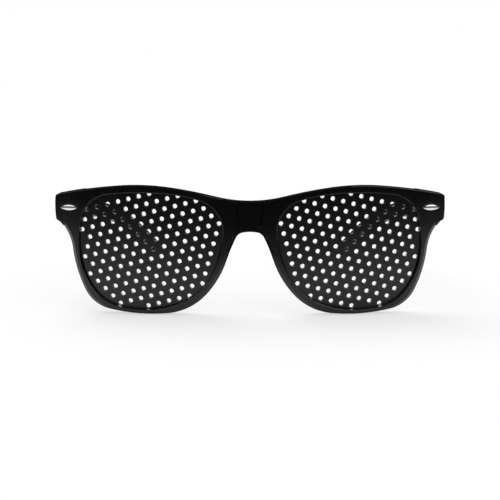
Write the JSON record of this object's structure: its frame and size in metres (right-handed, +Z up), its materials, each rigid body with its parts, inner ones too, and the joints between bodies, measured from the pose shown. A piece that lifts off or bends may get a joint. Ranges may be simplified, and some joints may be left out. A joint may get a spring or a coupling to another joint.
{
  "type": "pinhole glasses",
  "caption": "Pinhole glasses with a curved moulded front, perforated plates seated in its rims, almond inlays on the end pieces and temples that fold on screwed hinges.",
  "frame": {"origin": "on the table under the middle of the glasses' box, with the temples open", "axes": "+X to the wearer's left, -Y the way the wearer looks, +Z up"},
  "size_m": [0.146, 0.1442, 0.0487],
  "materials": {
    "front_plastic": "satin black moulded plastic",
    "plate_plastic": "smooth black plate with a soft sheen",
    "temple_plastic": "satin black moulded plastic",
    "bright_metal": "polished",
    "hinge_steel": "plain turned and stamped"
  },
  "bodies": {
    "front": {"front_frame": "front_plastic", "pinhole_plate_left": "plate_plastic", "pinhole_plate_right": "plate_plastic", "front_inlay_left": "bright_metal", "front_inlay_right": "bright_metal", "front_hinge_left": "hinge_steel", "front_hinge_right": "hinge_steel", "hinge_screw_left": "hinge_steel", "hinge_screw_right": "hinge_steel"},
    "temple_left": {"temple_left": "temple_plastic", "temple_hinge_left": "hinge_steel", "temple_rivets_left": "hinge_steel"},
    "temple_right": {"temple_right": "temple_plastic", "temple_hinge_right": "hinge_steel", "temple_rivets_right": "hinge_steel"}
  },
  "joints": [
    {"name": "temple_left_fold", "type": "hinge", "parent": "front", "child": "temple_left", "pos_m": [0.0665, -0.05715, 0.0403], "axis": [0, 0, 1], "range_deg": [0, 84]},
    {"name": "temple_right_fold", "type": "hinge", "parent": "front", "child": "temple_right", "pos_m": [-0.0665, -0.05715, 0.0403], "axis": [0, 0, -1], "range_deg": [0, 79.5]}
  ]
}
